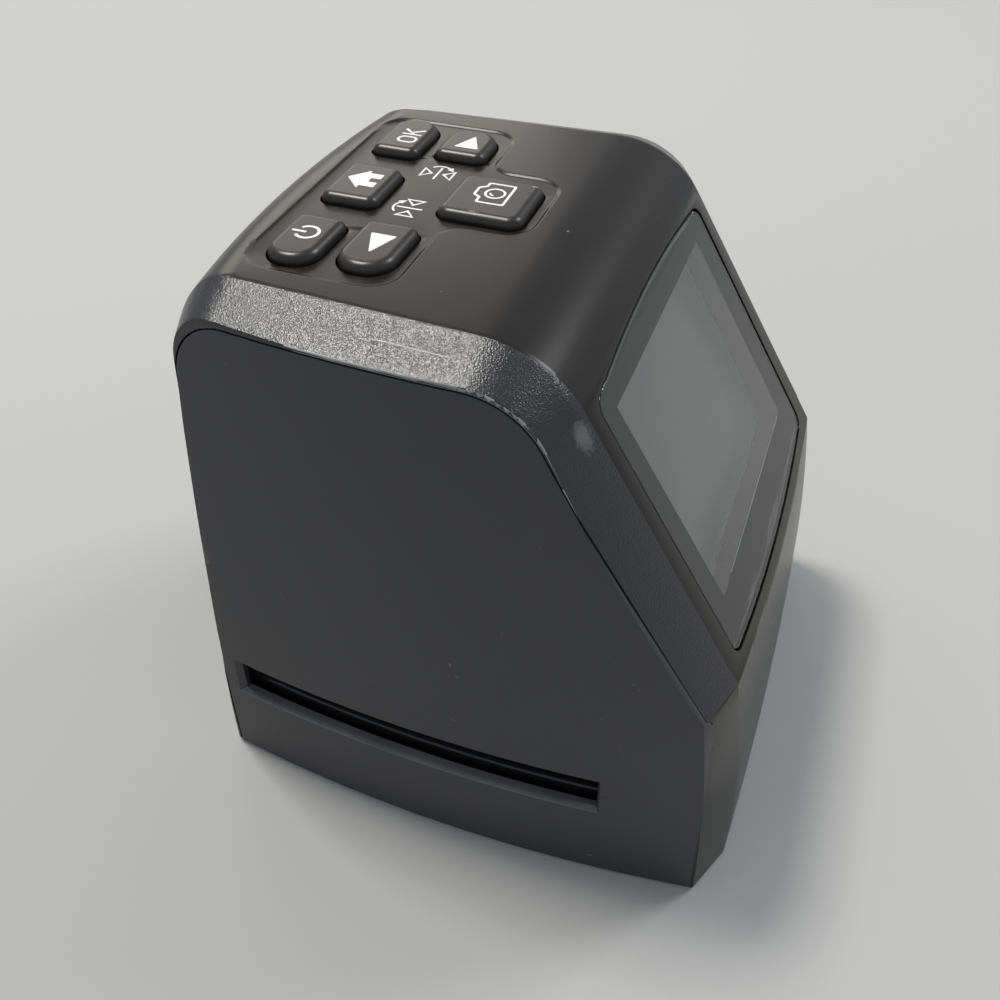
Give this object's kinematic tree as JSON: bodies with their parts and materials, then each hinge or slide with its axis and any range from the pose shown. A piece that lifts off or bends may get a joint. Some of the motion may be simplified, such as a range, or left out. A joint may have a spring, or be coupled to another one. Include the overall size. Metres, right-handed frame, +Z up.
{
  "type": "film negative scanner",
  "caption": "Desktop film negative scanner with a sloped display, keys on top and a film slot through both bowed side panels.",
  "frame": {"origin": "centre of the outline on the standing plane under the feet", "axes": "+Z up, -Y the front with the display slope, +X the user's right"},
  "size_m": [0.0954, 0.0998, 0.0998],
  "materials": {
    "skin_plastic": "fine grain, warm dark grey",
    "panel_plastic": "fine matte, cool dark grey",
    "window_gloss": "clear glossy window plate",
    "black_tape": "black film",
    "frame_steel": "thin pressed sheet",
    "display_glass": "grey green display glass, switched off",
    "light_guide": "white light guide",
    "board_green": "green solder mask",
    "screw_steel": "plated screws",
    "chip_black": "moulded chip bodies",
    "key_gloss": "glossy black key caps",
    "switch_plastic": "tact switches",
    "base_plastic": "matte base plate",
    "foot_rubber": "soft feet",
    "film_plastic": "satin film path",
    "spring_steel": "thin spring leaf",
    "led_white": "light sources",
    "box_white": "white reflector walls",
    "diffuser_opal": "opal sheet",
    "tower_plastic": "black lens parts",
    "lens_glass": "clear coated lens",
    "filter_glass": "cyan tinted filter",
    "sensor_chip": "sensor under its cover",
    "socket_metal": "plated socket shells",
    "socket_plastic": "yellow video socket",
    "flex_amber": "amber ribbon cable"
  },
  "bodies": {
    "scanner_body": {"housing_wrap": "skin_plastic", "side_panel_left": "panel_plastic", "side_panel_right": "panel_plastic", "display_lens": "window_gloss", "lens_tape_frame": "black_tape", "lcd_frame": "frame_steel", "lcd_panel": "display_glass", "lcd_backlight": "light_guide", "main_board": "board_green", "main_board_screws": "screw_steel", "main_chips": "chip_black", "key_board": "board_green", "key_board_screws": "screw_steel", "key_switches": "switch_plastic", "base_plate": "base_plastic", "rubber_feet": "foot_rubber", "base_screws": "screw_steel", "film_bed": "film_plastic", "film_guide_upper": "film_plastic", "guide_screws": "screw_steel", "detent_springs": "spring_steel", "led_board": "board_green", "led_board_screws": "screw_steel", "backlight_leds": "led_white", "light_box": "box_white", "diffuser": "diffuser_opal", "lens_tower": "tower_plastic", "tower_screws": "screw_steel", "lens_holder": "tower_plastic", "lens_barrel": "tower_plastic", "lens_element": "lens_glass", "ir_filter": "filter_glass", "image_sensor": "sensor_chip", "sensor_board": "board_green", "sensor_screws": "screw_steel", "rear_board": "board_green", "rear_board_screws": "screw_steel", "usb_socket": "socket_metal", "card_socket": "socket_metal", "video_socket": "socket_plastic", "key_flex": "flex_amber", "sensor_flex": "flex_amber", "rear_flex": "flex_amber"},
    "key_power_body": {"key_power": "key_gloss"},
    "key_ok_body": {"key_ok": "key_gloss"},
    "key_home_body": {"key_home": "key_gloss"},
    "key_left_body": {"key_left": "key_gloss"},
    "key_right_body": {"key_right": "key_gloss"},
    "key_camera_body": {"key_camera": "key_gloss"}
  },
  "joints": [
    {"name": "key_power_press", "type": "slide", "parent": "scanner_body", "child": "key_power_body", "axis": [0, 0, -1], "range_m": [0, 0.0006], "stiffness_N_per_m": 600, "springref_m": -0.0005},
    {"name": "key_ok_press", "type": "slide", "parent": "scanner_body", "child": "key_ok_body", "axis": [0, 0, -1], "range_m": [0, 0.0006], "stiffness_N_per_m": 600, "springref_m": -0.0005},
    {"name": "key_home_press", "type": "slide", "parent": "scanner_body", "child": "key_home_body", "axis": [0, 0, -1], "range_m": [0, 0.0006], "stiffness_N_per_m": 600, "springref_m": -0.0005},
    {"name": "key_left_press", "type": "slide", "parent": "scanner_body", "child": "key_left_body", "axis": [0, 0, -1], "range_m": [0, 0.0006], "stiffness_N_per_m": 600, "springref_m": -0.0005},
    {"name": "key_right_press", "type": "slide", "parent": "scanner_body", "child": "key_right_body", "axis": [0, 0, -1], "range_m": [0, 0.0006], "stiffness_N_per_m": 600, "springref_m": -0.0005},
    {"name": "key_camera_press", "type": "slide", "parent": "scanner_body", "child": "key_camera_body", "axis": [0, 0, -1], "range_m": [0, 0.0006], "stiffness_N_per_m": 600, "springref_m": -0.0005}
  ]
}
